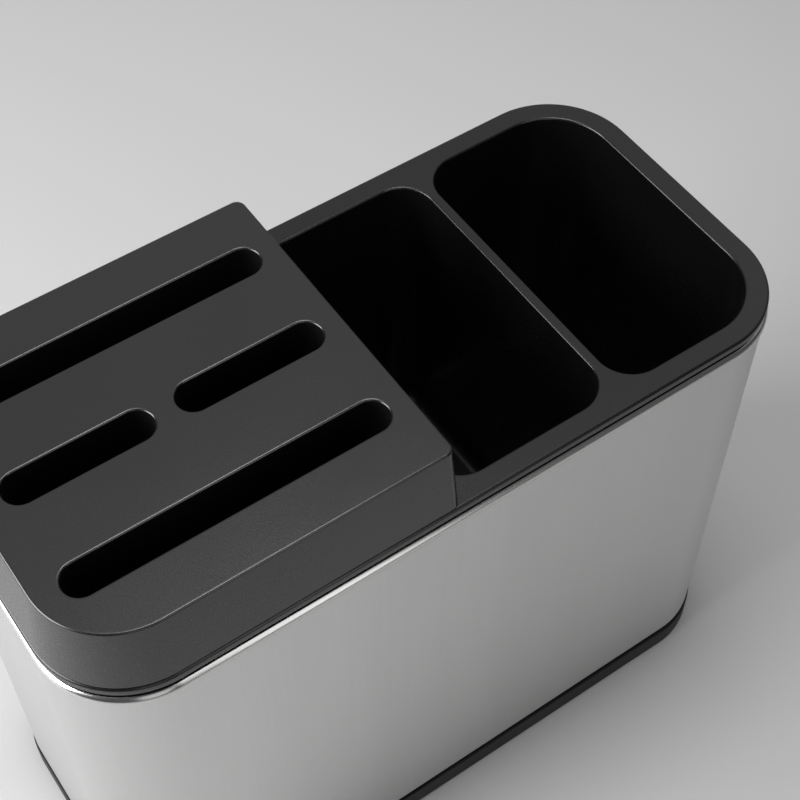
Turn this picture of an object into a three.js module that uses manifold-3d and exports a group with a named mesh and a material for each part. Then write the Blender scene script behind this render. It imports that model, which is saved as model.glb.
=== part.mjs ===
// Cutlery drainer with a knife block: a brushed steel sleeve on a black plinth, a lift-out
// liner with two open compartments and a knife bay, a slotted block over the bay and a drip
// tray underneath. Millimetres, +Z up. The origin is on the table under the middle of the body.
import * as THREE from 'three';
import { mergeVertices } from 'three/addons/utils/BufferGeometryUtils.js';
import Module from 'manifold-3d';

const wasm = await Module();
wasm.setup();

// Body, measured over the steel sleeve
const bodyLength = 241;
const bodyWidth = 115;
const bodyCorner = 28;

// Steel sleeve
const sleeveHeight = 165.9;
const sleeveSheet = 0.8;
const hemWidth = 3;
const sleeveEdge = 0.8;
const beadRadius = 1.2;
const beadProud = 0.6;
const beadSteps = 12;

// Plinth under the sleeve
const plinthRise = 9.5;
const plinthProud = 0.3;
const grooveHeight = 1.8;
const grooveDepth = 1.2;
const plinthWall = 2.2;
const plinthFloor = 2.4;
const plinthChamfer = 0.8;
const plinthEave = 3;
const upstandHeight = 13;
const upstandWall = 2;
const upstandClearance = 0.4;
const plinthRib = 1.6;
const plinthRibRaise = 1;
const lugWidth = 14;
const lugHeight = 3;
const lugReach = 1.2;

// Rubber feet
const footRadius = 6.4;
const footDrop = 1.5;
const footRecess = 1.4;
const footEdge = 0.5;
const footDimpleRadius = 3.2;
const footDimple = 0.4;
const footBossWall = 2.6;
const footEndInset = 26;
const footSideInset = 19;

// Drip tray
const trayClearance = 0.6;
const trayHeight = 16;
const trayWall = 1.6;
const trayFloor = 1.8;
const trayCove = 3;
const trayRibHeight = 3;
const trayRibWidth = 2.4;
const trayRibEndGap = 9;
const trayRibCount = 4;

// Liner: the rim
const rimGap = 2.1;
const rimLip = 2.3;
const rimLipInset = 1;
const rimLipEdge = 0.8;
const rimStep = 1.3;
const rimStepInset = 0.85;
const rimEdge = 0.5;
const rimSkin = 2.2;
const rimWidth = 7.3;
const skirtDrop = 8;
const skirtWall = 1.6;

// Liner: the pockets hanging from the rim
const pocketWall = 2;
const pocketFloor = 2;
const pocketCove = 4;
const pocketEdge = 0.8;
const draftShare = 0.0188;
const compartmentLength = 57.2;
const compartmentDepth = 103.6;
const dividerWidth = 3.6;
const dividerCorner = 11;
const bayCorner = 7;
const drainRadius = 3.2;
const drainPitch = 20;
const drainRowPitch = 22;

// Liner: the apron that carries its right end
const apronInset = 9;
const apronWall = 2;
const apronLength = 46;

// Knife block
const blockRise = 22.4;
const blockFootInset = 0.5;
const blockLean = 3;
const blockRightLean = 0.3;
const blockRightCorner = 3;
const blockEdge = 0.7;
const blockWall = 2.4;
const blockSkin = 3;
const blockOverhang = 0.6;

// Knife slots
const slotWidth = 10.4;
const slotEdge = 0.7;
const slotGuideWall = 1.8;
const slotGuideDrop = 2;
const slotLeftMargin = 8.1;
const slotRightMargin = 6.9;
const slotRowPitch = 32.4;
const slotBridge = 7.3;
const leftSlotShare = 0.455;

// Locating tongues under the block
const tongueDrop = 8;
const tongueWidth = 2.4;
const tongueThick = 2;
const tongueClearance = 0.6;
const tonguePitch = 30;
const tongueEndPitch = 52;

// Fits and finish
const seatGap = 0.3;
const overrun = 1;
const smallCorner = 0.6;
const cornerSteps = 7;
const roundSteps = 20;
const drainSteps = 10;
const quarterTurn = Math.PI / 2;
// How far a quarter round has come in, as a share of its radius, half way round it
const easeShare = 1 - Math.SQRT1_2;

// Heights that follow from the stack of parts
const plinthBottom = footDrop;
const sleeveBottom = plinthBottom + plinthRise;
const sleeveTop = sleeveBottom + sleeveHeight;
const rimBottom = sleeveTop + rimGap;
const rimTop = rimBottom + rimLip + rimStep;
const plinthFloorTop = sleeveBottom - plinthEave;
const trayBottom = plinthFloorTop + seatGap;
const trayFloorTop = trayBottom + trayFloor;
const linerBottom = trayFloorTop + trayRibHeight + seatGap;
const bayFloor = linerBottom + pocketFloor;
const compartmentFloor = rimTop - compartmentDepth;
const blockBottom = rimTop + seatGap;
const blockTop = blockBottom + blockRise;

// Plan boxes: the sides of a rounded rectangle and the radius of its left and right corners
const bodyBox = {
  x0: -bodyLength / 2,
  x1: bodyLength / 2,
  y0: -bodyWidth / 2,
  y1: bodyWidth / 2,
  left: bodyCorner,
  right: bodyCorner,
};
const rimInner = grow(bodyBox, -rimWidth);
const rightBox = { ...rimInner, x0: rimInner.x1 - compartmentLength, left: dividerCorner };
const middleBox = {
  ...rimInner,
  x0: rightBox.x0 - dividerWidth - compartmentLength,
  x1: rightBox.x0 - dividerWidth,
  left: dividerCorner,
  right: dividerCorner,
};
const bayBox = { ...rimInner, x1: middleBox.x0 - dividerWidth, right: bayCorner };
const blockFoot = {
  ...grow(bodyBox, -blockFootInset),
  x1: middleBox.x0 - blockOverhang,
  right: blockRightCorner,
};
const blockCrown = {
  ...grow(blockFoot, -blockLean),
  x1: blockFoot.x1 - blockRightLean,
  right: blockRightCorner,
};

// The same box with every side moved outwards, or inwards when the distance is negative
function grow(box, by) {
  return {
    x0: box.x0 - by,
    x1: box.x1 + by,
    y0: box.y0 - by,
    y1: box.y1 + by,
    left: Math.max(box.left + by, smallCorner),
    right: Math.max(box.right + by, smallCorner),
  };
}

// Points round a plan box, anticlockwise from above
function outline(box) {
  const corners = [
    [box.x1 - box.right, box.y1 - box.right, box.right],
    [box.x0 + box.left, box.y1 - box.left, box.left],
    [box.x0 + box.left, box.y0 + box.left, box.left],
    [box.x1 - box.right, box.y0 + box.right, box.right],
  ];
  const points = [];
  corners.forEach(([x, y, radius], turn) => {
    for (let step = 0; step <= cornerSteps; step += 1) {
      const angle = (turn + step / cornerSteps) * quarterTurn;
      points.push([x + radius * Math.cos(angle), y + radius * Math.sin(angle)]);
    }
  });
  return points;
}

function meshFrom(positions, faces) {
  const geometry = new THREE.BufferGeometry();
  geometry.setAttribute('position', new THREE.Float32BufferAttribute(positions, 3));
  geometry.setIndex(faces);
  return geometry;
}

// Solid through a stack of plan boxes, each [box, height], from the lowest up
function loft(levels) {
  const rings = levels.map(([box, z]) => outline(box).map(([x, y]) => [x, y, z]));
  const count = rings[0].length;
  const faces = [];
  for (let level = 0; level + 1 < rings.length; level += 1) {
    for (let i = 0; i < count; i += 1) {
      const here = level * count + i;
      const next = level * count + (i + 1) % count;
      faces.push(here, next, next + count, here, next + count, here + count);
    }
  }
  const top = (rings.length - 1) * count;
  for (let i = 1; i + 1 < count; i += 1) {
    faces.push(0, i + 1, i, top, top + i, top + i + 1);
  }
  return solid(meshFrom(rings.flat(2), faces));
}

// Closed band swept round a plan box; its section is a list of [outset, height] points
function band(box, section) {
  const rings = section.map(([outset, z]) => outline(grow(box, outset)).map(([x, y]) => [x, y, z]));
  const count = rings[0].length;
  const faces = [];
  rings.forEach((ring, level) => {
    const above = ((level + 1) % rings.length) * count;
    for (let i = 0; i < count; i += 1) {
      const next = (i + 1) % count;
      const base = level * count;
      faces.push(base + i, base + next, above + next, base + i, above + next, above + i);
    }
  });
  return solid(meshFrom(rings.flat(2), faces));
}

function solid(geometry) {
  const bare = geometry.index ? geometry : geometry.clone();
  bare.deleteAttribute('normal');
  bare.deleteAttribute('uv');
  const merged = mergeVertices(bare);
  const corners = merged.index.array;
  const kept = [];
  for (let i = 0; i < corners.length; i += 3) {
    const [a, b, c] = corners.slice(i, i + 3);
    if (a !== b && b !== c && c !== a) kept.push(a, b, c);
  }
  const shape = { numProp: 3, vertProperties: merged.attributes.position.array, triVerts: Uint32Array.from(kept) };
  return new wasm.Manifold(new wasm.Mesh(shape));
}

function block3(x0, x1, y0, y1, z0, z1) {
  const geometry = new THREE.BoxGeometry(x1 - x0, y1 - y0, z1 - z0);
  geometry.translate((x0 + x1) / 2, (y0 + y1) / 2, (z0 + z1) / 2);
  return solid(geometry);
}

// Upright cylinder between two heights
function post(x, y, radius, z0, z1, steps) {
  const geometry = new THREE.CylinderGeometry(radius, radius, z1 - z0, steps);
  geometry.rotateX(quarterTurn);
  geometry.translate(x, y, (z0 + z1) / 2);
  return solid(geometry);
}

function union(parts) {
  return parts.reduce((whole, next) => whole.add(next));
}

function cut(body, tools) {
  return tools.reduce((rest, tool) => rest.subtract(tool), body);
}

function toMesh(name, manifold, material) {
  const { vertProperties, triVerts } = manifold.getMesh();
  const mesh = new THREE.Mesh(meshFrom(Array.from(vertProperties), Array.from(triVerts)), material);
  mesh.geometry.computeVertexNormals();
  mesh.name = name;
  return mesh;
}

function centred(count, pitch) {
  return Array.from({ length: count }, (_, i) => (i - (count - 1) / 2) * pitch);
}

// Steel sleeve: open at both ends, a rolled bead at the top and a hem turned in at the bottom
function makeSleeve() {
  const middle = beadProud - beadRadius;
  const first = -Math.acos(-middle / beadRadius);
  const last = 2 * Math.PI - Math.acos((-sleeveSheet - middle) / beadRadius);
  const section = [
    [-hemWidth, sleeveBottom],
    [-sleeveEdge, sleeveBottom],
    [-sleeveEdge * easeShare, sleeveBottom + sleeveEdge * easeShare],
    [0, sleeveBottom + sleeveEdge],
  ];
  for (let i = 0; i <= beadSteps; i += 1) {
    const angle = first + (last - first) * (i / beadSteps);
    section.push([
      middle + beadRadius * Math.cos(angle),
      sleeveTop - beadRadius + beadRadius * Math.sin(angle),
    ]);
  }
  section.push([-sleeveSheet, sleeveBottom + sleeveSheet], [-hemWidth, sleeveBottom + sleeveSheet]);
  return band(bodyBox, section);
}

// Lug on the upstand that snaps over the hem: outwards is the direction it points in plan
function makeLug(outwards) {
  const face = hemWidth + upstandClearance;
  const low = sleeveBottom + sleeveSheet + seatGap;
  const shape = new THREE.Shape();
  shape.moveTo(-overrun, low);
  shape.lineTo(lugReach, low);
  shape.lineTo(0, low + lugHeight);
  shape.lineTo(-overrun, low + lugHeight);
  const geometry = new THREE.ExtrudeGeometry(shape, { depth: lugWidth, bevelEnabled: false });
  geometry.translate(0, 0, -lugWidth / 2);
  geometry.rotateX(quarterTurn);
  const lengthways = outwards.x !== 0;
  geometry.translate((lengthways ? bodyLength : bodyWidth) / 2 - face, 0, 0);
  geometry.rotateZ(Math.atan2(outwards.y, outwards.x));
  geometry.translate(outwards.shift, 0, 0);
  return solid(geometry);
}

const footSpots = [];
for (const [side, depth] of [['front', -1], ['back', 1]]) {
  for (const [end, along] of [['left', -1], ['right', 1]]) {
    footSpots.push({
      name: `foot_${side}_${end}`,
      x: along * (bodyLength / 2 - footEndInset),
      y: depth * (bodyWidth / 2 - footSideInset),
    });
  }
}

// Plinth: a moulded base with a ledge for the sleeve, a groove under its edge, an upstand inside
// it and ribs below
function makePlinth() {
  const outer = grow(bodyBox, plinthProud);
  const ledge = grow(bodyBox, -grooveDepth);
  const upstand = grow(bodyBox, -hemWidth - upstandClearance);
  const upstandTop = sleeveBottom + upstandHeight;
  const shell = loft([
    [grow(outer, -plinthChamfer), plinthBottom],
    [outer, plinthBottom + plinthChamfer],
    [outer, sleeveBottom - grooveHeight],
    [ledge, sleeveBottom - grooveHeight],
    [ledge, sleeveBottom],
  ]).add(loft([
    [upstand, sleeveBottom - plinthFloor],
    [upstand, upstandTop - plinthChamfer],
    [grow(upstand, -plinthChamfer), upstandTop],
  ]));
  const well = grow(upstand, -upstandWall);
  const under = grow(outer, -plinthWall);
  const ceiling = plinthFloorTop - plinthFloor;
  const hollow = cut(shell, [
    loft([[well, plinthFloorTop], [well, upstandTop + overrun]]),
    loft([[under, plinthBottom - overrun], [under, ceiling]]),
  ]);
  const ribLow = plinthBottom + plinthRibRaise;
  const ribs = [];
  for (const x of [...centred(2, bodyLength / 4), ...footSpots.slice(0, 2).map((spot) => spot.x)]) {
    ribs.push(block3(x - plinthRib / 2, x + plinthRib / 2, under.y0 - overrun, under.y1 + overrun,
      ribLow, ceiling + overrun));
  }
  for (const y of [footSpots[0].y, 0, footSpots[2].y]) {
    ribs.push(block3(under.x0 - overrun, under.x1 + overrun, y - plinthRib / 2, y + plinthRib / 2,
      ribLow, ceiling + overrun));
  }
  const bossRadius = footRadius + seatGap + footBossWall;
  const bosses = footSpots.map(({ x, y }) => (
    post(x, y, bossRadius, plinthBottom, ceiling + overrun, roundSteps)
  ));
  const recesses = footSpots.map(({ x, y }) => (
    post(x, y, footRadius + seatGap, plinthBottom - overrun, plinthBottom + footRecess, roundSteps)
  ));
  const lugs = [
    ...centred(2, bodyLength / 2).flatMap((shift) => [{ x: 0, y: 1, shift }, { x: 0, y: -1, shift }]),
    { x: 1, y: 0, shift: 0 },
    { x: -1, y: 0, shift: 0 },
  ].map(makeLug);
  return cut(union([hollow, ...ribs, ...bosses, ...lugs]), recesses);
}

// Rubber foot: a disc with an eased lower edge and a shallow dimple underneath
function makeFoot() {
  const height = footDrop + footRecess;
  const profile = [
    [0, footDimple],
    [footDimpleRadius - footDimple, footDimple],
    [footDimpleRadius, 0],
    [footRadius - footEdge, 0],
    [footRadius, footEdge],
    [footRadius, height],
    [0, height],
  ].map(([x, y]) => new THREE.Vector2(x, y));
  const geometry = new THREE.LatheGeometry(profile, roundSteps);
  geometry.rotateX(quarterTurn);
  return solid(geometry);
}

// Drip tray: a shallow dish with cross ribs that keep the liner out of the water
function makeTray() {
  const outer = grow(bodyBox, -hemWidth - upstandClearance - upstandWall - trayClearance);
  const inner = grow(outer, -trayWall);
  const top = trayBottom + trayHeight;
  const dish = loft([
    [grow(outer, -trayCove), trayBottom],
    [grow(outer, -trayCove * easeShare), trayBottom + trayCove * easeShare],
    [outer, trayBottom + trayCove],
    [outer, top],
  ]).subtract(loft([
    [grow(inner, -trayCove), trayFloorTop],
    [grow(inner, -trayCove * easeShare), trayFloorTop + trayCove * easeShare],
    [inner, trayFloorTop + trayCove],
    [inner, top + overrun],
  ]));
  const pitch = (inner.x1 - inner.x0) / (trayRibCount + 1);
  const ribs = centred(trayRibCount, pitch).map((x) => (
    block3(x - trayRibWidth / 2, x + trayRibWidth / 2, inner.y0 + trayRibEndGap,
      inner.y1 - trayRibEndGap, trayFloorTop - trayFloor / 2, trayFloorTop + trayRibHeight)
  ));
  return union([dish, ...ribs]);
}

// Outside of a pocket of the liner, from its floor's underside up into the rim
function pocketBody(box, floor) {
  const outside = grow(box, pocketWall);
  const inset = (rimTop - floor) * draftShare;
  const low = grow(outside, -inset);
  return loft([
    [grow(low, -pocketCove), floor - pocketFloor],
    [grow(low, -pocketCove * easeShare), floor - pocketFloor + pocketCove * easeShare],
    [low, floor - pocketFloor + pocketCove],
    [outside, rimTop - rimSkin / 2],
  ]);
}

// Inside of a pocket, with a cove round its floor and a rounded edge at the rim
function pocketVoid(box, floor) {
  const low = grow(box, -(rimTop - floor) * draftShare);
  return loft([
    [grow(low, -pocketCove), floor],
    [grow(low, -pocketCove * easeShare), floor + pocketCove * easeShare],
    [low, floor + pocketCove],
    [box, rimTop - pocketEdge],
    [grow(box, pocketEdge * easeShare), rimTop - pocketEdge * easeShare],
    [grow(box, pocketEdge), rimTop],
    [grow(box, pocketEdge), rimTop + overrun],
  ]);
}

function drains(box, floor, columns, rows) {
  const middle = (box.x0 + box.x1) / 2;
  return centred(columns, drainPitch).flatMap((x) => centred(rows, drainRowPitch).map((y) => (
    post(middle + x, y, drainRadius, floor - pocketFloor - overrun, floor + overrun, drainSteps)
  )));
}

// Apron under the right compartment: it stands in the tray and carries that end of the liner
function makeApron() {
  const ring = band(grow(bodyBox, -apronInset), [
    [-apronWall, linerBottom],
    [0, linerBottom],
    [0, compartmentFloor - pocketFloor / 2],
    [-apronWall, compartmentFloor - pocketFloor / 2],
  ]);
  const right = bodyBox.x1 - apronInset + overrun;
  const left = right - apronLength;
  const keep = block3(left, right, bodyBox.y0, bodyBox.y1, linerBottom - overrun, compartmentFloor);
  return ring.intersect(keep);
}

// Liner: one moulding with the rim, the knife bay and the two open compartments
function makeLiner() {
  const lip = grow(bodyBox, -rimLipInset);
  const step = grow(lip, -rimStepInset);
  const lipTop = rimBottom + rimLip;
  const rim = loft([
    [lip, rimBottom],
    [lip, lipTop - rimLipEdge],
    [grow(lip, -rimLipEdge * easeShare), lipTop - rimLipEdge * easeShare],
    [grow(lip, -rimLipEdge), lipTop],
    [step, lipTop],
    [step, rimTop - rimEdge],
    [grow(step, -rimEdge * easeShare), rimTop - rimEdge * easeShare],
    [grow(step, -rimEdge), rimTop],
  ]);
  const skirtFace = beadProud - 2 * beadRadius - seatGap;
  const undercut = band(bodyBox, [
    [skirtFace - skirtWall - rimWidth, rimBottom - overrun],
    [skirtFace - skirtWall, rimBottom - overrun],
    [skirtFace - skirtWall, rimTop - rimSkin],
    [skirtFace - skirtWall - rimWidth, rimTop - rimSkin],
  ]);
  const skirt = band(bodyBox, [
    [skirtFace - skirtWall, rimBottom - skirtDrop],
    [skirtFace, rimBottom - skirtDrop],
    [skirtFace, rimTop - rimSkin],
    [skirtFace - skirtWall, rimTop - rimSkin],
  ]);
  const pockets = [
    { box: bayBox, floor: bayFloor, columns: 4, rows: 3 },
    { box: middleBox, floor: compartmentFloor, columns: 2, rows: 4 },
    { box: rightBox, floor: compartmentFloor, columns: 2, rows: 4 },
  ];
  const bodies = pockets.map(({ box, floor }) => pocketBody(box, floor));
  const hollows = pockets.map(({ box, floor }) => pocketVoid(box, floor));
  const holes = pockets.flatMap(({ box, floor, columns, rows }) => drains(box, floor, columns, rows));
  const whole = union([rim.subtract(undercut), skirt, ...bodies, makeApron()]);
  return cut(whole, [...hollows, ...holes]);
}

// Knife slots: a long one at the front and the back, and two short ones end to end between them
function slotBoxes() {
  const left = blockCrown.x0 + slotLeftMargin;
  const right = blockCrown.x1 - slotRightMargin;
  const length = right - left;
  const rows = [
    { y: -slotRowPitch, x0: left, x1: right },
    { y: 0, x0: left, x1: left + length * leftSlotShare },
    { y: 0, x0: left + length * leftSlotShare + slotBridge, x1: right },
    { y: slotRowPitch, x0: left, x1: right },
  ];
  return rows.map(({ y, x0, x1 }) => ({
    x0,
    x1,
    y0: y - slotWidth / 2,
    y1: y + slotWidth / 2,
    left: slotWidth / 2,
    right: slotWidth / 2,
  }));
}

// Tongue that hangs from the block's wall into the knife bay, outwards along x or y
function makeTongue({ x, y, shift }) {
  const lengthways = x !== 0;
  const reach = (box) => (lengthways ? Math.max(x * box.x0, x * box.x1) : box.y1);
  const wallFace = reach(blockCrown) - blockWall;
  const bayFace = reach(bayBox) - tongueClearance;
  const shape = new THREE.Shape();
  shape.moveTo(bayFace - tongueThick, rimTop - tongueDrop);
  shape.lineTo(bayFace - tongueClearance, rimTop - tongueDrop);
  shape.lineTo(bayFace, rimTop - tongueDrop + tongueThick);
  shape.lineTo(bayFace, blockBottom + tongueThick);
  shape.lineTo(Math.max(wallFace, bayFace) + blockWall / 2, blockBottom + tongueThick);
  shape.lineTo(Math.max(wallFace, bayFace) + blockWall / 2, blockTop - blockSkin / 2);
  shape.lineTo(bayFace - tongueThick, blockTop - blockSkin / 2);
  const geometry = new THREE.ExtrudeGeometry(shape, { depth: tongueWidth, bevelEnabled: false });
  geometry.translate(0, 0, -tongueWidth / 2);
  geometry.rotateX(quarterTurn);
  geometry.rotateZ(Math.atan2(y, x));
  geometry.translate(lengthways ? 0 : shift, lengthways ? shift : 0, 0);
  return solid(geometry);
}

// Knife block: a leaning cap with four slots, each continued below by a guide
function makeBlock() {
  const shell = loft([
    [blockFoot, blockBottom],
    [blockCrown, blockTop - blockEdge],
    [grow(blockCrown, -blockEdge * easeShare), blockTop - blockEdge * easeShare],
    [grow(blockCrown, -blockEdge), blockTop],
  ]);
  const inside = loft([
    [grow(blockFoot, -blockWall), blockBottom - overrun],
    [grow(blockCrown, -blockWall), blockTop - blockSkin],
  ]);
  const slots = slotBoxes();
  const guideBottom = rimTop - slotGuideDrop;
  const guides = slots.map((box) => loft([
    [grow(box, slotGuideWall), guideBottom],
    [grow(box, slotGuideWall), blockTop - blockSkin / 2],
  ]));
  const knifeWays = slots.map((box) => loft([
    [box, guideBottom - overrun],
    [box, blockTop - slotEdge],
    [grow(box, slotEdge * easeShare), blockTop - slotEdge * easeShare],
    [grow(box, slotEdge), blockTop],
    [grow(box, slotEdge), blockTop + overrun],
  ]));
  const bayMiddle = (bayBox.x0 + bayBox.x1) / 2;
  const tongues = [
    ...centred(3, tonguePitch).flatMap((along) => [
      { x: 0, y: 1, shift: bayMiddle + along },
      { x: 0, y: -1, shift: bayMiddle + along },
    ]),
    ...centred(2, tongueEndPitch).flatMap((across) => [
      { x: 1, y: 0, shift: across },
      { x: -1, y: 0, shift: across },
    ]),
  ].map(makeTongue);
  return cut(union([shell.subtract(inside), ...guides, ...tongues]), knifeWays);
}

const steel = new THREE.MeshStandardMaterial({ color: 0xb4b4b2, roughness: 0.32, metalness: 1 });
const satinBlack = new THREE.MeshStandardMaterial({ color: 0x303032, roughness: 0.5, metalness: 0 });
const blockBlack = new THREE.MeshStandardMaterial({ color: 0x3a3a3c, roughness: 0.48, metalness: 0 });
const plinthBlack = new THREE.MeshStandardMaterial({ color: 0x222224, roughness: 0.6, metalness: 0 });
const trayBlack = new THREE.MeshStandardMaterial({ color: 0x28282a, roughness: 0.55, metalness: 0 });
const rubber = new THREE.MeshStandardMaterial({ color: 0x1a1a1a, roughness: 0.9, metalness: 0 });

const group = new THREE.Group();
group.add(toMesh('steel_sleeve', makeSleeve(), steel));
group.add(toMesh('plinth', makePlinth(), plinthBlack));
group.add(toMesh('drip_tray', makeTray(), trayBlack));
group.add(toMesh('liner', makeLiner(), satinBlack));
group.add(toMesh('knife_block', makeBlock(), blockBlack));
for (const { name, x, y } of footSpots) {
  const foot = toMesh(name, makeFoot(), rubber);
  foot.position.set(x, y, 0);
  group.add(foot);
}

export default group;
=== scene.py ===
import math
import bmesh
import bpy
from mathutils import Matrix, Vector


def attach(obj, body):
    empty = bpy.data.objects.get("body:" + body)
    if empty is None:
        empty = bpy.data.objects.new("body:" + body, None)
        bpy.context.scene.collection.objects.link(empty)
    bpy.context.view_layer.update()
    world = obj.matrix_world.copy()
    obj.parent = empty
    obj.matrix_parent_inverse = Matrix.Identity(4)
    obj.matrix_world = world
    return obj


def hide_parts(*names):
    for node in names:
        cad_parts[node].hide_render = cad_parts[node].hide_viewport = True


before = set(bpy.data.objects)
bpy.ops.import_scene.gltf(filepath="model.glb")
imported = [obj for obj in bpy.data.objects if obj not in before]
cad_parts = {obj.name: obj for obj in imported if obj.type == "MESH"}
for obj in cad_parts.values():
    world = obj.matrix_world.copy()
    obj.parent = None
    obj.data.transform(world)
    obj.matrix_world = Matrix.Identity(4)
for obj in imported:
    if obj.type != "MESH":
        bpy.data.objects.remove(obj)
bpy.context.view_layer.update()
print("packed model loaded")

# Camera of the photograph, solved on the rim, the sleeve's outline and the slot ends
camera = {
    "place": (-0.154057, -0.242669, 0.554567),
    "turn": (36.2157, -0.0523, -34.5799),
    "lens": 73.74,
    "sensor": 36,
    "nearest": 0.01,
}


def makeCamera():
    bpy.ops.object.select_all(action="DESELECT")
    turn = [math.radians(angle) for angle in camera["turn"]]
    bpy.ops.object.camera_add(location=camera["place"], rotation=turn)
    viewer = bpy.context.object
    viewer.name = "photoCamera"
    viewer.data.lens = camera["lens"]
    viewer.data.sensor_width = camera["sensor"]
    viewer.data.clip_start = camera["nearest"]
    bpy.context.scene.camera = viewer


makeCamera()
bpy.context.scene.view_settings.view_transform = "Standard"
print("camera placed")


# Helpers. Plan sizes and heights are in millimetres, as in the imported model, and so are these
# limits: points within weld become one, points within side of a side lie on it, no corner
# radius is under corner, and the corners of a round end are slack smaller than half its width.
# Outlines are bridged while they stand apart. barSteps are the steps of a bar's soft edges.
mesh = {"weld": 0.001, "side": 0.0001, "corner": 0.3, "slack": 0.001, "apart": 100, "barSteps": 2}
# angle in degrees up to which an edge is shaded smooth, weight of the large faces
shading = {"angle": 32, "weight": 50}


def mm(value):
    return value / 1000


def selectNothing():
    if bpy.context.object and bpy.context.object.mode != "OBJECT":
        bpy.ops.object.mode_set(mode="OBJECT")
    bpy.ops.object.select_all(action="DESELECT")


def makeActive(piece):
    selectNothing()
    piece.select_set(True)
    bpy.context.view_layer.objects.active = piece


# Sides of a plan outline and the radius of its left and right corners
def planBox(x0, x1, y0, y1, left, right):
    return {"x0": x0, "x1": x1, "y0": y0, "y1": y1, "left": left, "right": right}


def grow(box, by):
    return planBox(box["x0"] - by, box["x1"] + by, box["y0"] - by, box["y1"] + by,
                   max(box["left"] + by, mesh["corner"]), max(box["right"] + by, mesh["corner"]))


# Rounded edge in a section: centre, radius, first and last angle in degrees
def arc(out, z, radius, first, last, steps):
    points = []
    for step in range(steps + 1):
        angle = math.radians(first + (last - first) * step / steps)
        points.append((out + radius * math.cos(angle), z + radius * math.sin(angle)))
    return points


def startPiece(name):
    selectNothing()
    bpy.ops.mesh.primitive_plane_add(size=1, location=(0, 0, 0))
    piece = bpy.context.object
    piece.name = name
    piece.data.name = name
    bpy.ops.object.mode_set(mode="EDIT")
    bpy.ops.mesh.select_mode(type="VERT")
    bpy.ops.mesh.delete(type="VERT")
    return piece


# The layer that holds the number of the ring that each point belongs to
def ringLayer(shape):
    return shape.verts.layers.int.get("ring") or shape.verts.layers.int.new("ring")


# Selects the points that the test accepts, and what lies between them
def selectPoints(test, kind="VERT"):
    bpy.ops.mesh.select_mode(type=kind)
    bpy.ops.mesh.select_all(action="DESELECT")
    shape = bmesh.from_edit_mesh(bpy.context.object.data)
    ring = ringLayer(shape)
    wanted = {vert for vert in shape.verts if test(vert, ring)}
    for element in [*shape.edges, *shape.faces]:
        if wanted.issuperset(element.verts):
            element.select = True
    for vert in wanted:
        vert.select = True
    bmesh.update_edit_mesh(bpy.context.object.data)


def selectRings(numbers):
    bpy.ops.mesh.select_mode(type="EDGE")
    bpy.ops.mesh.select_all(action="DESELECT")
    shape = bmesh.from_edit_mesh(bpy.context.object.data)
    ring = ringLayer(shape)
    for edge in shape.edges:
        first, second = (v[ring] for v in edge.verts)
        if first == second and first in numbers:
            edge.select = True
    bmesh.update_edit_mesh(bpy.context.object.data)


# Numbers the points that have no number yet, which are those of the newest ring
def numberRing():
    shape = bmesh.from_edit_mesh(bpy.context.object.data)
    ring = ringLayer(shape)
    number = max((v[ring] for v in shape.verts), default=0) + 1
    for vert in shape.verts:
        if vert[ring] == 0:
            vert[ring] = number
    bmesh.update_edit_mesh(bpy.context.object.data)
    return number


# One rounded outline: a plane at its size and place, its corners bevelled, its face taken away
def addRing(box, z, steps):
    middle = (mm(box["x0"] + box["x1"]) / 2, mm(box["y0"] + box["y1"]) / 2, mm(z))
    bpy.ops.mesh.select_all(action="DESELECT")
    bpy.ops.mesh.primitive_plane_add(size=1, location=middle)
    size = (mm(box["x1"] - box["x0"]), mm(box["y1"] - box["y0"]), 1)
    bpy.ops.transform.resize(value=size, center_override=middle)
    for side, radius in (("x0", box["left"]), ("x1", box["right"])):
        at = mm(box[side])
        selectPoints(lambda v, ring: v[ring] == 0 and abs(v.co.x - at) < mm(mesh["side"]))
        bpy.ops.mesh.bevel(offset=mm(radius), offset_type="OFFSET", segments=steps, profile=0.5,
                           affect="VERTICES", clamp_overlap=False)
    selectPoints(lambda v, ring: v[ring] == 0, "FACE")
    bpy.ops.mesh.delete(type="ONLY_FACE")
    bpy.ops.mesh.select_mode(type="VERT")
    return numberRing()


def fillBetween(rings):
    selectRings(rings)
    bpy.ops.mesh.fill(use_beauty=False)


def bridgeBetween(first, second):
    selectRings((first, second))
    bpy.ops.mesh.bridge_edge_loops()


# Skin through a run of plan outlines, each (box, height). They are bridged while they stand
# well apart, because outlines that lie close inside each other don't bridge cleanly.
def skinThrough(levels, steps, closed=False):
    apart = mesh["apart"]
    rings = [addRing(box, place * apart, steps) for place, (box, z) in enumerate(levels)]
    for first, second in zip(rings, rings[1:]):
        bridgeBetween(first, second)
    if closed:
        bridgeBetween(rings[-1], rings[0])
    for place, (number, (box, z)) in enumerate(zip(rings, levels)):
        selectRings((number,))
        bpy.ops.transform.translate(value=(0, 0, mm(z - place * apart)))
    return rings


# The same for a section swept round one plan outline: a list of (distance outwards, height).
# Where a fill follows, that end of the section runs a lap past its rounded edge, so that the
# edge's shading stays clean.
def sweepRound(box, section, steps, closed=False):
    return skinThrough([(grow(box, out), z) for out, z in section], steps, closed)


# A round section about an upright line: a list of (radius, height)
def turnRound(x, y, section, steps):
    levels = []
    for radius, z in section:
        corner = radius - mesh["slack"]
        levels.append((planBox(x - radius, x + radius, y - radius, y + radius, corner, corner), z))
    return skinThrough(levels, steps)


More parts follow.
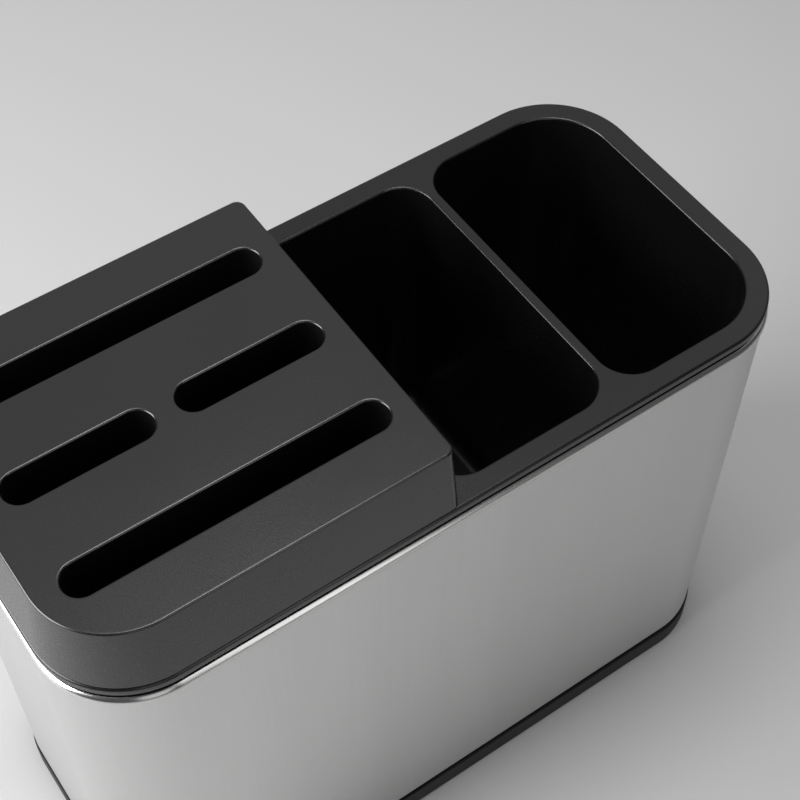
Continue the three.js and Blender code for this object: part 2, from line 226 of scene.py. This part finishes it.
# A bar with softened edges, given by its sides, added to the piece in hand
def addBar(x0, x1, y0, y1, z0, z1, soft):
    middle = (mm(x0 + x1) / 2, mm(y0 + y1) / 2, mm(z0 + z1) / 2)
    bpy.ops.mesh.select_mode(type="VERT")
    bpy.ops.mesh.select_all(action="DESELECT")
    bpy.ops.mesh.primitive_cube_add(size=1, location=middle)
    bpy.ops.transform.resize(value=(mm(x1 - x0), mm(y1 - y0), mm(z1 - z0)), center_override=middle)
    bpy.ops.mesh.bevel(offset=mm(soft), segments=mesh["barSteps"], affect="EDGES", clamp_overlap=True)
    numberRing()


def finishPiece(piece, material, body, node):
    bpy.ops.mesh.select_mode(type="VERT")
    bpy.ops.mesh.select_all(action="SELECT")
    bpy.ops.mesh.remove_doubles(threshold=mm(mesh["weld"]))
    bpy.ops.mesh.normals_make_consistent(inside=False)
    bpy.ops.object.mode_set(mode="OBJECT")
    piece.data.attributes.remove(piece.data.attributes["ring"])
    makeActive(piece)
    bpy.ops.object.shade_smooth_by_angle(angle=math.radians(shading["angle"]))
    even = piece.modifiers.new("evenShading", "WEIGHTED_NORMAL")
    even.keep_sharp = True
    even.weight = shading["weight"]
    bpy.ops.object.modifier_apply(modifier="evenShading")
    piece.data.materials.clear()
    piece.data.materials.append(material)
    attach(piece, body)
    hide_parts(node)
    print("made", piece.name, len(piece.data.polygons), "faces")


# Node groups shared by the materials
def newGroup(name, inputs, outputs):
    group = bpy.data.node_groups.new(name, "ShaderNodeTree")
    for label, kind, value in inputs:
        socket = group.interface.new_socket(label, in_out="INPUT", socket_type=kind)
        if value is not None:
            socket.default_value = value
    for label, kind in outputs:
        group.interface.new_socket(label, in_out="OUTPUT", socket_type=kind)
    return group, group.nodes.new("NodeGroupInput"), group.nodes.new("NodeGroupOutput")


def addMath(tree, kind, first, second):
    node = tree.nodes.new("ShaderNodeMath")
    node.operation = kind
    for socket, value in zip(node.inputs, (first, second)):
        if isinstance(value, (int, float)):
            socket.default_value = value
        else:
            tree.links.new(value, socket)
    return node.outputs[0]


def addRange(tree, value, fromMin, fromMax, toMin, toMax):
    node = tree.nodes.new("ShaderNodeMapRange")
    tree.links.new(value, node.inputs[0])
    for socket, number in zip(list(node.inputs)[1:5], (fromMin, fromMax, toMin, toMax)):
        socket.default_value = number
    return node.outputs[0]


# Noise on a position that is stretched first, so the noise itself runs at scale one
def addNoise(tree, position, detail, stretch):
    mapping = tree.nodes.new("ShaderNodeMapping")
    mapping.inputs["Scale"].default_value = stretch
    tree.links.new(position, mapping.inputs["Vector"])
    noise = tree.nodes.new("ShaderNodeTexNoise")
    noise.inputs["Scale"].default_value = 1.0
    noise.inputs["Detail"].default_value = detail
    tree.links.new(mapping.outputs[0], noise.inputs["Vector"])
    return noise.outputs["Fac"]


# A mix of two colours
def addMix(tree, factor, first, second):
    node = tree.nodes.new("ShaderNodeMix")
    node.data_type = "RGBA"
    tree.links.new(factor, node.inputs[0])
    node.inputs[6].default_value = first
    node.inputs[7].default_value = second
    return node.outputs[2]


# Fine spark-eroded texture of a moulded part, and slow patches left by handling. Sizes are in
# millimetres. roughness is how far the grain moves the gloss about its middle, depth is the
# grain's height in metres.
moulded = {"grain": 0.5, "grainDetail": 3, "grainMiddle": 0.5, "patch": 60.0, "patchDetail": 4,
           "patchTurbulence": 0.6, "patchLow": 0.35, "patchHigh": 0.65, "perMetre": 1000.0,
           "roughness": 0.12, "depth": 0.0002}


def makeMouldedGroup():
    group, given, result = newGroup(
        "mouldedSurface",
        [("Position", "NodeSocketVector", None), ("Grain Size", "NodeSocketFloat", moulded["grain"]),
         ("Patch Size", "NodeSocketFloat", moulded["patch"])],
        [("Grain", "NodeSocketFloat"), ("Patches", "NodeSocketFloat")])
    size = given.outputs["Grain Size"]
    fine = group.nodes.new("ShaderNodeTexNoise")
    fine.inputs["Detail"].default_value = moulded["grainDetail"]
    group.links.new(given.outputs["Position"], fine.inputs["Vector"])
    group.links.new(addMath(group, "DIVIDE", moulded["perMetre"], size), fine.inputs["Scale"])
    group.links.new(fine.outputs["Fac"], result.inputs["Grain"])
    slow = group.nodes.new("ShaderNodeTexNoise")
    slow.inputs["Detail"].default_value = moulded["patchDetail"]
    slow.inputs["Roughness"].default_value = moulded["patchTurbulence"]
    group.links.new(given.outputs["Position"], slow.inputs["Vector"])
    patchScale = addMath(group, "DIVIDE", moulded["perMetre"], given.outputs["Patch Size"])
    group.links.new(patchScale, slow.inputs["Scale"])
    patches = addRange(group, slow.outputs["Fac"], moulded["patchLow"], moulded["patchHigh"], 0.0, 1.0)
    group.links.new(patches, result.inputs["Patches"])
    return group


# Long fine scratches of belt-brushed sheet, upright on every side of the sleeve. The three
# numbers of a stretch are how often the pattern changes in a metre along x, y and z.
brushed = {"fine": (2600, 2600, 22), "fineShare": 0.6, "fineDetail": 2.0, "medium": (700, 700, 6),
           "mediumShare": 0.4, "mediumDetail": 3.0, "bands": (60, 60, 2), "bandDetail": 2.0,
           "low": 0.3, "high": 0.7, "strokeShare": 0.6, "bandShare": 0.4, "depth": 0.00005}


def makeBrushedGroup():
    group, given, result = newGroup(
        "brushedSheet",
        [("Position", "NodeSocketVector", None)],
        [("Strokes", "NodeSocketFloat"), ("Bands", "NodeSocketFloat")])
    position = given.outputs["Position"]
    fine = addNoise(group, position, brushed["fineDetail"], brushed["fine"])
    medium = addNoise(group, position, brushed["mediumDetail"], brushed["medium"])
    both = addMath(group, "ADD", addMath(group, "MULTIPLY", fine, brushed["fineShare"]),
                   addMath(group, "MULTIPLY", medium, brushed["mediumShare"]))
    group.links.new(both, result.inputs["Strokes"])
    bands = addNoise(group, position, brushed["bandDetail"], brushed["bands"])
    group.links.new(bands, result.inputs["Bands"])
    return group


def newMaterial(name):
    material = bpy.data.materials.new(name)
    material.use_nodes = True
    return material, material.node_tree.nodes["Principled BSDF"]


def objectPosition(tree):
    return tree.nodes.new("ShaderNodeTexCoord").outputs["Object"]


def addBump(tree, shader, height, strength, distance):
    bump = tree.nodes.new("ShaderNodeBump")
    bump.inputs["Strength"].default_value = strength
    bump.inputs["Distance"].default_value = distance
    tree.links.new(height, bump.inputs["Height"])
    tree.links.new(bump.outputs["Normal"], shader.inputs["Normal"])


def makePlastic(name, look):
    material, shader = newMaterial(name)
    tree = material.node_tree
    position = objectPosition(tree)
    surface = tree.nodes.new("ShaderNodeGroup")
    surface.node_tree = mouldedGroup
    surface.inputs["Grain Size"].default_value = look["grain"]
    surface.inputs["Patch Size"].default_value = look["patch"]
    tree.links.new(position, surface.inputs["Position"])
    patches = surface.outputs["Patches"]
    colour = addMix(tree, patches, look["colour"], look["colourWorn"])
    tree.links.new(colour, shader.inputs["Base Color"])
    rough = addRange(tree, patches, 0.0, 1.0, look["rough"], look["roughWorn"])
    swing = addMath(tree, "SUBTRACT", surface.outputs["Grain"], moulded["grainMiddle"])
    grainRough = addMath(tree, "MULTIPLY", swing, moulded["roughness"])
    tree.links.new(addMath(tree, "ADD", rough, grainRough), shader.inputs["Roughness"])
    shader.inputs["Specular IOR Level"].default_value = look["specular"]
    addBump(tree, shader, surface.outputs["Grain"], look["bump"], moulded["depth"])
    return material


def makeSteel(name, look):
    material, shader = newMaterial(name)
    tree = material.node_tree
    position = objectPosition(tree)
    sheet = tree.nodes.new("ShaderNodeGroup")
    sheet.node_tree = brushedGroup
    tree.links.new(position, sheet.inputs["Position"])
    strokes, bands = sheet.outputs["Strokes"], sheet.outputs["Bands"]
    low, high = brushed["low"], brushed["high"]
    shade = addMath(tree, "ADD", addRange(tree, strokes, low, high, 0.0, brushed["strokeShare"]),
                    addRange(tree, bands, low, high, 0.0, brushed["bandShare"]))
    tree.links.new(addMix(tree, shade, look["dark"], look["light"]), shader.inputs["Base Color"])
    # the rolled bead is smoother than the brushed sheet below it
    split = tree.nodes.new("ShaderNodeSeparateXYZ")
    tree.links.new(position, split.inputs[0])
    beadFrom = look["beadFrom"]
    onBead = addRange(tree, split.outputs["Z"], beadFrom, beadFrom + look["beadBlend"], 0.0, 1.0)
    sheetRough = addRange(tree, strokes, low, high, look["rough"], look["roughStroke"])
    rough = tree.nodes.new("ShaderNodeMix")
    tree.links.new(onBead, rough.inputs[0])
    tree.links.new(sheetRough, rough.inputs[2])
    rough.inputs[3].default_value = look["roughBead"]
    tree.links.new(rough.outputs[0], shader.inputs["Roughness"])
    shader.inputs["Metallic"].default_value = 1.0
    addBump(tree, shader, strokes, look["bump"], brushed["depth"])
    return material


mouldedGroup = makeMouldedGroup()
brushedGroup = makeBrushedGroup()
print("surface groups made")

# The outline that everything follows, measured over the steel
body = planBox(-120.5, 120.5, -57.5, 57.5, 28, 28)

# Steel sleeve: open sheet with a roll at the top and a hem turned in at the bottom. The roll
# is a flat one whose tip turns back down behind it; beadTipTurn is the angle of the tip.
sleeve = {"bottom": 11, "sheet": 0.8, "hem": 3, "bend": 0.8, "bendSteps": 6,
          "beadMiddle": 175.95, "beadRadius": 2.0, "beadProud": 0.591, "beadSteps": 20,
          "beadTip": 0.25, "beadTipTurn": 67, "tipSteps": 6, "edgeDrop": 0.6, "joinDrop": 1.1,
          "cornerSteps": 28}
# beadFrom is the height in metres where the brushing ends, beadBlend how far it fades
steelLook = {"dark": (0.575, 0.573, 0.565, 1), "light": (0.615, 0.612, 0.603, 1), "rough": 0.31,
             "roughStroke": 0.35, "roughBead": 0.2, "beadFrom": 0.1742, "beadBlend": 0.0004,
             "bump": 0.04}
steelSheet = makeSteel("brushedSteel", steelLook)


def makeSleeve():
    low, sheet, bend = sleeve["bottom"], sleeve["sheet"], sleeve["bend"]
    radius, tip, turn = sleeve["beadRadius"], sleeve["beadTip"], sleeve["beadTipTurn"]
    out, z = sleeve["beadProud"] - radius, sleeve["beadMiddle"]
    section = [(-sleeve["hem"], low + sheet), (-sleeve["hem"], low)]
    section += arc(-bend, low + bend, bend, -90, 0, sleeve["bendSteps"])
    # the roll's outer face, its tip, and the edge turned back down behind it
    first = -math.degrees(math.acos(-out / radius))
    section += arc(out, z, radius, first, turn, sleeve["beadSteps"])
    reach = radius - tip
    tipOut, tipZ = out + reach * math.cos(math.radians(turn)), z + reach * math.sin(math.radians(turn))
    section += arc(tipOut, tipZ, tip, turn, 180, sleeve["tipSteps"])[1:]
    section += [(tipOut - tip, z - sleeve["edgeDrop"]), (-sheet, z - sleeve["joinDrop"])]
    section += [(-sheet, low + sheet + bend), (-sheet - bend, low + sheet)]
    piece = startPiece("steelSleeve")
    sweepRound(body, section, sleeve["cornerSteps"], closed=True)
    finishPiece(piece, steelSheet, "housing", "steel_sleeve")


makeSleeve()

# Liner: rim, skirt, knife bay and two open compartments in one moulding. In a pocket, edge is
# the rounded mouth, cove the bend at the floor, collar the upper part of the wall's outside,
# and draft how far the wall leans in for each millimetre of depth.
liner = {"rimTop": 182.6, "rimBottom": 179.8, "rimInset": 0.1, "rimEdge": 0.9, "rimSteps": 7,
         "rimLap": 0.3, "underEdge": 0.3, "underSteps": 3, "skirtFace": 2.1, "skirtWall": 1.6,
         "skirtLow": 171.0, "skirtEdge": 0.3, "skin": 1.8, "cornerSteps": 20}
pocketForm = {"edge": 0.8, "edgeSteps": 5, "edgeLap": 0.15, "draft": 0.0188, "cove": 4,
              "coveSteps": 7, "coveLap": 0.4, "wall": 2, "wallSteps": 5, "wallCove": 5,
              "collar": 8, "collarLap": 0.45, "collarLow": 0.15, "floor": 2}
drain = {"radius": 3.2, "pitch": 20, "rowPitch": 22, "steps": 5}
pockets = [
    {"box": planBox(-113.2, -8.4, -50.2, 50.2, 20.7, 7), "floor": 15.4, "columns": 4, "rows": 3},
    {"box": planBox(-4.8, 52.4, -50.2, 50.2, 11, 11), "floor": 79.0, "columns": 2, "rows": 4},
    {"box": planBox(56.0, 113.2, -50.2, 50.2, 11, 20.7), "floor": 79.0, "columns": 2, "rows": 4},
]
linerLook = {"colour": (0.0035, 0.0035, 0.0037, 1), "colourWorn": (0.0045, 0.0045, 0.0047, 1),
             "rough": 0.24, "roughWorn": 0.29, "grain": 0.5, "patch": 55.0, "bump": 0.05,
             "specular": 0.55}
linerPlastic = makePlastic("satinLinerPlastic", linerLook)


def addPocket(pocket, steps):
    box, floor, top = pocket["box"], pocket["floor"], liner["rimTop"]
    edge, cove, wall = pocketForm["edge"], pocketForm["cove"], pocketForm["wall"]
    under = top - liner["skin"]
    drift = (top - floor) * pocketForm["draft"]
    inner = [(edge + pocketForm["edgeLap"], top)]
    inner += arc(edge, top - edge, edge, 90, 180, pocketForm["edgeSteps"])
    inner += arc(-drift - cove, floor + cove, cove, 0, -90, pocketForm["coveSteps"])
    inner += [(-drift - cove - pocketForm["coveLap"], floor)]
    inside = sweepRound(box, inner, steps)
    low, bend = floor - pocketForm["floor"], pocketForm["wallCove"]
    outer = [(wall - pocketForm["collarLap"], under),
             (wall - pocketForm["collarLow"], under - pocketForm["collar"])]
    outer += arc(wall - drift - bend, low + bend, bend, 0, -90, pocketForm["wallSteps"])
    outside = sweepRound(box, outer, steps)
    tops, bottoms = [], []
    middle = (box["x0"] + box["x1"]) / 2
    for column in range(pocket["columns"]):
        for row in range(pocket["rows"]):
            x = middle + (column - (pocket["columns"] - 1) / 2) * drain["pitch"]
            y = (row - (pocket["rows"] - 1) / 2) * drain["rowPitch"]
            hole = [(drain["radius"], low), (drain["radius"], floor)]
            bottom, upper = turnRound(x, y, hole, drain["steps"])
            tops.append(upper)
            bottoms.append(bottom)
    fillBetween([inside[-1]] + tops)
    fillBetween([outside[-1]] + bottoms)
    return inside[0], outside[0]


# Wall that stands in the tray and carries the right end of the liner
apron = {"inset": 9, "wall": 2, "length": 45, "low": 13.4, "high": 77.5}


def addApron(steps):
    bpy.ops.mesh.select_all(action="DESELECT")
    right, front = body["x1"] - apron["inset"], body["y0"] + apron["inset"]
    radius = body["right"] - apron["inset"]
    left = right - apron["length"]
    middle = (mm(left), mm(front + apron["wall"] / 2), mm(apron["low"] + apron["high"]) / 2)
    bpy.ops.mesh.primitive_plane_add(size=1, location=middle)
    bpy.ops.transform.rotate(value=math.pi / 2, orient_axis="Y", center_override=middle)
    bpy.ops.transform.resize(value=(1, mm(apron["wall"]), mm(apron["high"] - apron["low"])),
                             center_override=middle)
    run, turnAt = right - radius - left, front + radius
    for move, y in (((mm(run), 0, 0), turnAt), ((0, mm(-2 * turnAt), 0), -turnAt)):
        bpy.ops.mesh.extrude_region_move(TRANSFORM_OT_translate={"value": move})
        bpy.ops.mesh.spin(steps=steps, angle=-math.pi / 2, axis=(0, 0, 1),
                          center=(mm(right - radius), mm(y), 0))
    bpy.ops.mesh.extrude_region_move(TRANSFORM_OT_translate={"value": (mm(-run), 0, 0)})
    numberRing()


def makeLiner():
    steps = liner["cornerSteps"]
    top, bottom, edge = liner["rimTop"], liner["rimBottom"], liner["rimEdge"]
    lip, under, face = -liner["rimInset"], liner["underEdge"], -liner["skirtFace"]
    low, soft, back = liner["skirtLow"], liner["skirtEdge"], face - liner["skirtWall"]
    section = [(lip - edge - liner["rimLap"], top)]
    section += arc(lip - edge, top - edge, edge, 90, 0, liner["rimSteps"])
    section += arc(lip - under, bottom + under, under, 0, -90, liner["underSteps"])
    section += [(face, bottom), (face, low + soft), (face - soft, low), (back, low),
                (back, top - liner["skin"])]
    piece = startPiece("linerMoulding")
    rim = sweepRound(body, section, steps)
    insides, outsides = zip(*[addPocket(pocket, steps) for pocket in pockets])
    fillBetween((rim[0],) + insides)
    fillBetween((rim[-1],) + outsides)
    addApron(steps)
    finishPiece(piece, linerPlastic, "liner", "liner")


makeLiner()

# Knife block: a leaning cap with four slots, each continued below by a guide. A slot is given
# by its row across the block, its start and its end along it.
block = {"bottom": 182.9, "top": 205.3, "baseEdge": 0.3, "edge": 0.7, "edgeSteps": 6, "edgeLap": 0.3,
         "wall": 2.4, "skin": 3, "cornerSteps": 28,
         "base": planBox(-120.0, -5.4, -57.0, 57.0, 27.5, 3),
         "crown": planBox(-117.0, -5.7, -54.0, 54.0, 24.5, 3)}
slot = {"width": 10.4, "edge": 0.7, "edgeSteps": 5, "edgeLap": 0.15, "guideWall": 1.8,
        "guideLow": 180.6, "cornerSteps": 14,
        "places": [(-32.4, -108.9, -12.6), (0, -108.9, -65.083), (0, -57.783, -12.6),
                   (32.4, -108.9, -12.6)]}
tongue = {"drop": 8, "width": 2.4, "thick": 2, "gap": 0.6, "pitch": 30, "endPitch": 52,
          "soft": 0.4, "lap": 0.4}
blockLook = {"colour": (0.0042, 0.0042, 0.0046, 1), "colourWorn": (0.0055, 0.0055, 0.0060, 1),
             "rough": 0.24, "roughWorn": 0.28, "grain": 0.45, "patch": 70.0, "bump": 0.03,
             "specular": 0.74}
blockPlastic = makePlastic("satinBlockPlastic", blockLook)


def addSlot(row, start, end):
    half, edge, top, wall = slot["width"] / 2, slot["edge"], block["top"], slot["guideWall"]
    corner = half - mesh["slack"]
    box = planBox(start, end, row - half, row + half, corner, corner)
    section = [(edge + slot["edgeLap"], top)] + arc(edge, top - edge, edge, 90, 180, slot["edgeSteps"])
    section += [(0, slot["guideLow"]), (wall, slot["guideLow"]), (wall, top - block["skin"])]
    rings = sweepRound(box, section, slot["cornerSteps"])
    return rings[0], rings[-1]


# Tongues that stand in the liner's knife bay and keep the block in place
def addTongues():
    bay, gap, thick, soft = pockets[0]["box"], tongue["gap"], tongue["thick"], tongue["soft"]
    low = liner["rimTop"] - tongue["drop"]
    high = block["top"] - block["skin"] + tongue["lap"]
    half, middle, reach = tongue["width"] / 2, (bay["x0"] + bay["x1"]) / 2, bay["y1"] - gap
    for along in (-tongue["pitch"], 0, tongue["pitch"]):
        for side in (-1, 1):
            sides = sorted((side * reach, side * (reach - thick)))
            addBar(middle + along - half, middle + along + half, *sides, low, high, soft)
    for across in (-tongue["endPitch"] / 2, tongue["endPitch"] / 2):
        for start in (bay["x0"] + gap, bay["x1"] - gap - thick):
            addBar(start, start + thick, across - half, across + half, low, high, soft)


def makeBlock():
    top, bottom, steps = block["top"], block["bottom"], block["cornerSteps"]
    edge, soft, wall = block["edge"], block["baseEdge"], block["wall"]
    base, crown = block["base"], block["crown"]
    levels = [(grow(base, -wall), bottom), (grow(base, -soft), bottom), (base, bottom + soft)]
    rounding = arc(-edge, top - edge, edge, 0, 90, block["edgeSteps"])
    levels += [(grow(crown, out), z) for out, z in rounding]
    levels += [(grow(crown, -edge - block["edgeLap"]), top)]
    piece = startPiece("knifeBlock")
    outside = skinThrough(levels, steps)
    under = [(grow(base, -wall), bottom), (grow(crown, -wall), top - block["skin"])]
    inside = skinThrough(under, steps)
    openings, collars = zip(*[addSlot(*place) for place in slot["places"]])
    fillBetween((outside[-1],) + openings)
    fillBetween((inside[-1],) + collars)
    addTongues()
    finishPiece(piece, blockPlastic, "block", "knife_block")


makeBlock()

# Plinth: a moulded base with a ledge for the sleeve, an upstand inside it and ribs below
plinth = {"skirtLow": 0.7, "skirtEdge": 0.3, "skirtSteps": 4, "top": 11, "proud": 0.585, "wall": 2.2,
          "edge": 0.4, "edgeSteps": 4, "groove": 1.8, "grooveDepth": 1.2, "ledgeEdge": 0.2,
          "upstandFace": 3.4, "upstandTop": 24, "upstandWall": 2, "upstandFoot": 0.6,
          "chamfer": 0.8, "chamferSteps": 3, "floorTop": 8, "floor": 2.4, "cornerSteps": 24}
rib = {"thick": 1.6, "low": 2.5, "lap": 0.3, "soft": 0.25,
       "across": (-94.5, -30.125, 30.125, 94.5), "along": (-38.5, 0, 38.5)}
boss = {"radius": 9.3, "low": 1.5, "recess": 6.7, "recessTop": 2.9, "steps": 8}
lug = {"width": 14, "reach": 1.2, "low": 12.1, "high": 15.1, "lap": 0.5, "soft": 0.5,
       "across": (-60.25, 60.25)}
footSpots = {"foot_front_left": (-94.5, -38.5), "foot_front_right": (94.5, -38.5),
             "foot_back_left": (-94.5, 38.5), "foot_back_right": (94.5, 38.5)}
plinthLook = {"colour": (0.0045, 0.0045, 0.0047, 1), "colourWorn": (0.006, 0.006, 0.006, 1),
              "rough": 0.5, "roughWorn": 0.6, "grain": 0.6, "patch": 40.0, "bump": 0.2,
              "specular": 0.4}
plinthPlastic = makePlastic("matPlinthPlastic", plinthLook)


# Ribs and foot bosses below the plinth's floor
def addUnderside(wall, ceiling):
    half, top = rib["thick"] / 2, ceiling + rib["lap"]
    x0, x1, y0, y1 = body["x0"] + wall, body["x1"] - wall, body["y0"] + wall, body["y1"] - wall
    for x in rib["across"]:
        addBar(x - half, x + half, y0, y1, rib["low"], top, rib["soft"])
    for y in rib["along"]:
        addBar(x0, x1, y - half, y + half, rib["low"], top, rib["soft"])
    section = [(boss["radius"], top), (boss["radius"], boss["low"]), (boss["recess"], boss["low"]),
               (boss["recess"], boss["recessTop"])]
    for x, y in footSpots.values():
        rings = turnRound(x, y, section, boss["steps"])
        fillBetween((rings[0],))
        fillBetween((rings[-1],))


# Snap lugs that stand over the hem of the sleeve
def addLugs(face):
    near, far, span = -face - lug["lap"], -face + lug["reach"], lug["width"] / 2
    for x in lug["across"]:
        for side in (-1, 1):
            sides = sorted((side * (body["y1"] + near), side * (body["y1"] + far)))
            addBar(x - span, x + span, *sides, lug["low"], lug["high"], lug["soft"])
    for side in (-1, 1):
        sides = sorted((side * (body["x1"] + near), side * (body["x1"] + far)))
        addBar(*sides, -span, span, lug["low"], lug["high"], lug["soft"])


def makePlinth():
    face, crest, rise = plinth["upstandFace"], plinth["upstandTop"], plinth["upstandFoot"]
    inner, floor, chamfer = face + plinth["upstandWall"], plinth["floorTop"], plinth["chamfer"]
    top, edge, soft, proud = plinth["top"], plinth["edge"], plinth["ledgeEdge"], plinth["proud"]
    ledge, shelf, under = -plinth["grooveDepth"], top - plinth["groove"], proud - plinth["wall"]
    low, bend, ceiling = plinth["skirtLow"], plinth["skirtEdge"], floor - plinth["floor"]
    section = [(-inner - rise, floor), (-inner, floor + rise)]
    section += [(-inner, crest - edge), (-inner + edge, crest)]
    section += arc(-face - chamfer, crest - chamfer, chamfer, 90, 0, plinth["chamferSteps"])
    section += [(-face, top), (ledge - soft, top), (ledge, top - soft), (ledge, shelf)]
    section += arc(proud - edge, shelf - edge, edge, 90, 0, plinth["edgeSteps"])
    section += arc(proud - bend, low + bend, bend, 0, -90, plinth["skirtSteps"])
    section += [(under, low), (under, ceiling)]
    piece = startPiece("plinthMoulding")
    rings = sweepRound(body, section, plinth["cornerSteps"])
    fillBetween((rings[0],))
    fillBetween((rings[-1],))
    addUnderside(-under - rib["lap"], ceiling)
    addLugs(face)
    finishPiece(piece, plinthPlastic, "housing", "plinth")


makePlinth()

# Rubber foot, modelled once and copied to the other three corners
foot = {"radius": 6.4, "top": 2.9, "topEdge": 0.2, "edge": 0.5, "edgeSteps": 4, "dimple": 3.2,
        "dimpleRise": 0.4, "cornerSteps": 10}
rubberLook = {"colour": (0.010, 0.010, 0.010, 1), "colourWorn": (0.016, 0.016, 0.016, 1),
              "rough": 0.75, "roughWorn": 0.85, "grain": 0.4, "patch": 9.0, "bump": 0.3,
              "specular": 0.3}
footRubber = makePlastic("footRubber", rubberLook)


def makeFeet():
    names = list(footSpots)
    x, y = footSpots[names[0]]
    radius, edge, dimple, rise = foot["radius"], foot["edge"], foot["dimple"], foot["dimpleRise"]
    top, soft = foot["top"], foot["topEdge"]
    section = [(dimple - rise, rise), (dimple, 0)]
    section += arc(radius - edge, edge, edge, -90, 0, foot["edgeSteps"])
    section += [(radius, top - soft), (radius - soft, top)]
    first = startPiece("rubber_" + names[0])
    rings = turnRound(x, y, section, foot["cornerSteps"])
    fillBetween((rings[0],))
    fillBetween((rings[-1],))
    finishPiece(first, footRubber, "housing", names[0])
    for name in names[1:]:
        makeActive(first)
        bpy.ops.object.duplicate()
        copy = bpy.context.object
        copy.name = "rubber_" + name
        copy.location = (mm(footSpots[name][0] - x), mm(footSpots[name][1] - y), 0)
        bpy.ops.object.transform_apply(location=True, rotation=True, scale=True)
        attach(copy, "housing")
        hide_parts(name)
    print("made four feet")


makeFeet()

# Drip tray: a shallow dish with cross ribs that keep the liner out of the water
tray = {"inset": 6.0, "wall": 1.6, "wallSteps": 8, "low": 8.3, "high": 24.3, "floorTop": 10.1,
        "cove": 3, "coveSteps": 7, "outerSteps": 6, "coveLap": 0.5, "cornerSteps": 22,
        "ribs": (-67.74, -22.58, 22.58, 67.74), "rib": 2.4, "ribEnd": 40.9, "ribTop": 13.1,
        "ribLap": 0.6, "ribSoft": 0.5}
trayLook = {"colour": (0.014, 0.014, 0.015, 1), "colourWorn": (0.020, 0.020, 0.021, 1),
            "rough": 0.36, "roughWorn": 0.48, "grain": 0.6, "patch": 45.0, "bump": 0.12,
            "specular": 0.5}
trayPlastic = makePlastic("trayPlastic", trayLook)


def makeTray():
    outer, inner, cove = -tray["inset"], -tray["inset"] - tray["wall"], tray["cove"]
    high, floor, low, lap = tray["high"], tray["floorTop"], tray["low"], tray["coveLap"]
    crest, half = tray["wall"] / 2, tray["rib"] / 2
    section = [(inner - cove - lap, floor)]
    section += arc(inner - cove, floor + cove, cove, -90, 0, tray["coveSteps"])
    section += arc(outer - crest, high - crest, crest, 180, 0, tray["wallSteps"])
    section += arc(outer - cove, low + cove, cove, 0, -90, tray["outerSteps"])
    section += [(outer - cove - lap, low)]
    piece = startPiece("dripTray")
    rings = sweepRound(body, section, tray["cornerSteps"])
    fillBetween((rings[0],))
    fillBetween((rings[-1],))
    for x in tray["ribs"]:
        addBar(x - half, x + half, -tray["ribEnd"], tray["ribEnd"], floor - tray["ribLap"],
               tray["ribTop"], tray["ribSoft"])
    finishPiece(piece, trayPlastic, "tray", "drip_tray")


makeTray()

# Floor, softboxes and the room. Each lamp stands at its turn and height in degrees round the
# drainer, seen from above: 0 is past the open compartments, 90 behind and 180 past the block.
# Lamps point at aim, a height above the floor; away and the sizes are in metres too.
studio = {
    "floor": {"size": 8, "colour": (0.60, 0.598, 0.605, 1), "rough": 0.6, "specular": 0.2},
    "room": {"colour": (1, 1, 1.01, 1), "strength": 0.09},
    "aim": 0.1,
    "lamps": {
        "leftSoftbox": {"turn": 166, "height": 31, "away": 1.0, "size": (0.67, 0.67), "power": 13.3},
        "topSoftbox": {"turn": 20, "height": 86, "away": 0.85, "size": (0.25, 0.25), "power": 1.55},
        "upperLeftSoftbox": {"turn": 180, "height": 78, "away": 0.9, "size": (0.3, 0.3), "power": 0.5},
        "backRightPanel": {"turn": 58, "height": 54, "away": 1.2, "size": (1.2, 1.2), "power": 2.25},
        "rightSoftbox": {"turn": 0, "height": 40, "away": 0.9, "size": (0.6, 0.6), "power": 0.35},
        "frontStrip": {"turn": 281, "height": 38, "away": 1.1, "size": (0.23, 1.3), "power": 1.4},
        "cornerStrip": {"turn": 250, "height": 32, "away": 1.1, "size": (0.42, 0.9), "power": 0.8},
    },
}


def makeLamp(name, lamp):
    turn, height = math.radians(lamp["turn"]), math.radians(lamp["height"])
    aim = Vector((0, 0, studio["aim"]))
    place = lamp["away"] * Vector((math.cos(height) * math.cos(turn), math.cos(height) * math.sin(turn),
                                   math.sin(height)))
    bpy.ops.object.select_all(action="DESELECT")
    bpy.ops.object.light_add(type="AREA", location=place)
    light = bpy.context.object
    light.name = name
    light.data.shape = "RECTANGLE"
    light.data.size, light.data.size_y = lamp["size"]
    light.data.energy = lamp["power"]
    light.rotation_euler = (aim - place).to_track_quat("-Z", "Y").to_euler()
    light.visible_camera = False


def makeStudio():
    bpy.ops.object.select_all(action="DESELECT")
    bpy.ops.mesh.primitive_plane_add(size=studio["floor"]["size"], location=(0, 0, 0))
    floor = bpy.context.object
    floor.name = "floor"
    material, shader = newMaterial("paleFloor")
    shader.inputs["Base Color"].default_value = studio["floor"]["colour"]
    shader.inputs["Roughness"].default_value = studio["floor"]["rough"]
    shader.inputs["Specular IOR Level"].default_value = studio["floor"]["specular"]
    floor.data.materials.append(material)
    room = bpy.data.worlds.new("room")
    bpy.context.scene.world = room
    room.use_nodes = True
    sky = room.node_tree.nodes["Background"]
    sky.inputs["Color"].default_value = studio["room"]["colour"]
    sky.inputs["Strength"].default_value = studio["room"]["strength"]
    for name, lamp in studio["lamps"].items():
        makeLamp(name, lamp)
    print("studio made")


makeStudio()
